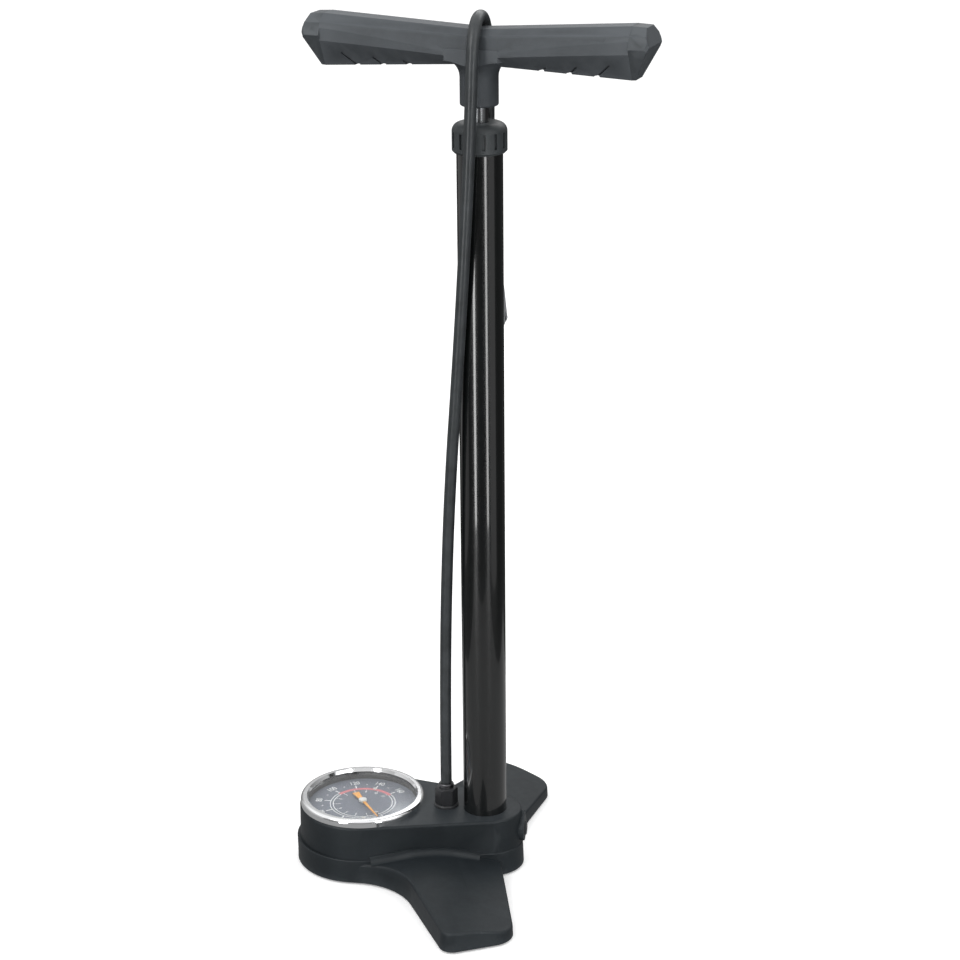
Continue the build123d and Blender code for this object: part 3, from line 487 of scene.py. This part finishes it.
def numeral(text, radius, degrees, size, z):
    """A narrow number whose top points away from the dial's middle."""
    curve = bpy.data.curves.new("n" + text, "FONT")
    curve.body = text
    curve.size = size
    curve.offset = size * 0.014
    curve.align_x, curve.align_y = "CENTER", "CENTER"
    obj = bpy.data.objects.new("n" + text, curve)
    SCENE.collection.objects.link(obj)
    bpy.context.view_layer.update()
    mesh = bpy.data.meshes.new_from_object(obj)
    bpy.data.objects.remove(obj)
    turn = Matrix.Rotation(math.radians(degrees - 90), 4, "Z")
    narrow = Matrix.Diagonal((0.76, 1, 1, 1))
    mesh.transform(Matrix.Translation(on_dial(radius, degrees, z)) @ turn @ narrow)
    return mesh


def dot(radius, degrees, size):
    """A small round mark."""
    middle = on_dial(radius, degrees, 0)
    return [middle + Vector((math.cos(a), math.sin(a), 0)) * size
            for a in (2 * math.pi * k / 12 for k in range(12))]


def joined(name, meshes, body, mat):
    """Several small meshes as one piece."""
    bm = bmesh.new()
    for mesh in meshes:
        bm.from_mesh(mesh)
    out = bpy.data.meshes.new(name)
    bm.to_mesh(out)
    bm.free()
    return piece(name, out, body, mat)


def scale_at(share):
    """The direction of a share of the scale."""
    return SCALE_START - SCALE_SWEEP * share


PRINT_Z = DIAL_TOP + 0.00005
marks = [tick(0.0250, 0.0296, scale_at(i / OUTER_STEPS), 0.0009) for i in range(OUTER_STEPS + 1)]
marks += [dot(0.0305, scale_at((i + 0.5) / OUTER_STEPS), 0.00062) for i in range(OUTER_STEPS)]
marks += [tick(0.0206, 0.0220, scale_at(i / INNER_STEPS), 0.0005) for i in range(INNER_STEPS + 1)]
sheet_from("dial_marks", marks, PRINT_Z, "base", MAT["white"])
rings = arc_band(*OUTER_RING, ZONE[1], ZONE[0] + 360)
rings += arc_band(*INNER_RING, ZONE[1], ZONE[0] + 360)
sheet_from("dial_rings", rings, PRINT_Z + 0.00002, "base", MAT["white"])
zone = arc_band(INNER_RING[0], OUTER_RING[1], *ZONE)
sheet_from("dial_zone", zone, PRINT_Z, "base", MAT["pink"])
numbers = [numeral(str(20 * i), 0.0334, scale_at(i / OUTER_STEPS), 0.0069, PRINT_Z)
           for i in range(OUTER_STEPS + 1)]
numbers += [numeral(str(i), 0.0182, scale_at(i / INNER_STEPS), 0.0040, PRINT_Z)
            for i in range(INNER_STEPS + 1)]
joined("dial_numbers", numbers, "base", MAT["white"])

# ------------------------------------------------------------------ stage and light
def make_stage():
    """A plain pale floor, which leaves the object's undersides to the studio's own light."""
    bm = bmesh.new()
    bmesh.ops.create_grid(bm, x_segments=2, y_segments=2, size=12)
    mesh = bpy.data.meshes.new("floor")
    bm.to_mesh(mesh)
    bm.free()
    floor = bpy.data.objects.new("floor", mesh)
    SCENE.collection.objects.link(floor)
    s = Shader("floor", (0.90, 0.90, 0.90), 0.9, specular_ior_level=0.0,
               emission_color=(1, 1, 1, 1), emission_strength=0.30)
    s.colour(s.ramp(s.noise(0.6, 2.0), [(0.3, 0.89), (0.7, 0.91)]))
    floor.data.materials.append(s.mat)
    floor.visible_diffuse = floor.visible_glossy = floor.visible_shadow = False


def make_backdrop():
    """A pale dome behind everything, which only the camera sees."""
    bm = bmesh.new()
    bmesh.ops.create_uvsphere(bm, u_segments=48, v_segments=24, radius=11)
    mesh = bpy.data.meshes.new("backdrop")
    bm.to_mesh(mesh)
    bm.free()
    dome = bpy.data.objects.new("backdrop", mesh)
    SCENE.collection.objects.link(dome)
    s = Shader("backdrop", (0, 0, 0), 1.0, specular_ior_level=0.0,
               emission_color=(1, 1, 1, 1), emission_strength=1.0)
    dome.data.materials.append(s.mat)
    dome.visible_diffuse = dome.visible_glossy = dome.visible_transmission = dome.visible_shadow = False


def area(name, place, target, size, power, diffuse=True):
    """A rectangular soft light that faces target."""
    light = bpy.data.lights.new(name, "AREA")
    light.shape = "RECTANGLE"
    light.size, light.size_y = size
    light.energy = power
    obj = bpy.data.objects.new(name, light)
    SCENE.collection.objects.link(obj)
    obj.location = place
    obj.rotation_euler = (Vector(target) - Vector(place)).to_track_quat("-Z", "Y").to_euler()
    obj.visible_diffuse = diffuse
    return obj


STRIP_AWAY = 1.2               # distance of the reflected boxes from the barrel
STRIP_TOP = 1.1


def strip(name, azimuth, width, bottom, radiance):
    """An upright light box that shows in reflections only, at an azimuth from the camera's side."""
    heading = math.radians(VIEW_TURN + azimuth)
    x, y = STRIP_AWAY * math.sin(heading), -STRIP_AWAY * math.cos(heading)
    z, height = (bottom + STRIP_TOP) / 2, STRIP_TOP - bottom
    power = radiance * math.pi * width * height
    area(name, (x, y, z), (0, 0, z), (width, height), power, diffuse=False)


def floor_glow(size, middle, radiance):
    """The lit floor close round the base, as glossy surfaces see it."""
    place = (middle[0], middle[1], -0.002)
    power = radiance * math.pi * size[0] * size[1]
    area("floor_glow", place, (middle[0], middle[1], 1), size, power, diffuse=False)


def make_world(stops):
    """A soft sky by height: dark under the horizon, bright overhead."""
    world = bpy.data.worlds.new("studio")
    SCENE.world = world
    world.use_nodes = True
    tree = world.node_tree
    split = tree.nodes.new("ShaderNodeSeparateXYZ")
    tree.links.new(tree.nodes.new("ShaderNodeTexCoord").outputs["Generated"], split.inputs[0])
    height = tree.nodes.new("ShaderNodeMapRange")
    height.inputs["From Min"].default_value = -1.0
    tree.links.new(split.outputs[2], height.inputs["Value"])
    ramp = tree.nodes.new("ShaderNodeValToRGB")
    while len(ramp.color_ramp.elements) < len(stops):
        ramp.color_ramp.elements.new(1.0)
    for element, (z, shade) in zip(ramp.color_ramp.elements, stops):
        element.position = (z + 1) / 2
        element.color = (shade, shade, shade, 1)
    tree.links.new(height.outputs["Result"], ramp.inputs["Fac"])
    tree.links.new(ramp.outputs["Color"], tree.nodes["Background"].inputs["Color"])
    tree.nodes["Background"].inputs["Strength"].default_value = 1.15


make_stage()
make_backdrop()
make_world([(-1, 0.03), (-0.08, 0.05), (0.08, 0.22), (0.40, 0.45), (0.65, 0.85), (1, 1.0)])
area("key", (-1.1, -1.2, 2.0), (0, 0, 0.25), (1.2, 1.2), 16)
area("fill", (1.6, -0.9, 1.5), (0, 0, 0.3), (1.2, 1.6), 7)
area("rim", (0.4, 1.9, 1.7), (0, 0, 0.3), (2.0, 1.0), 9)
area("bounce", (0.3, -1.3, -0.5), (0, 0, 0.40), (1.6, 1.0), 11).visible_glossy = False
strip("strip_left", -35.0, 0.22, -0.165, 7.6)
strip("strip_right", 27.0, 0.20, -0.165, 6.0)
strip("panel_right", 58.0, 0.70, -0.25, 0.42)
strip("panel_left", -104.0, 1.50, -0.22, 0.28)
floor_glow((0.80, 0.90), (0.0, -0.10), 0.30)
SCENE.view_settings.view_transform = "Standard"
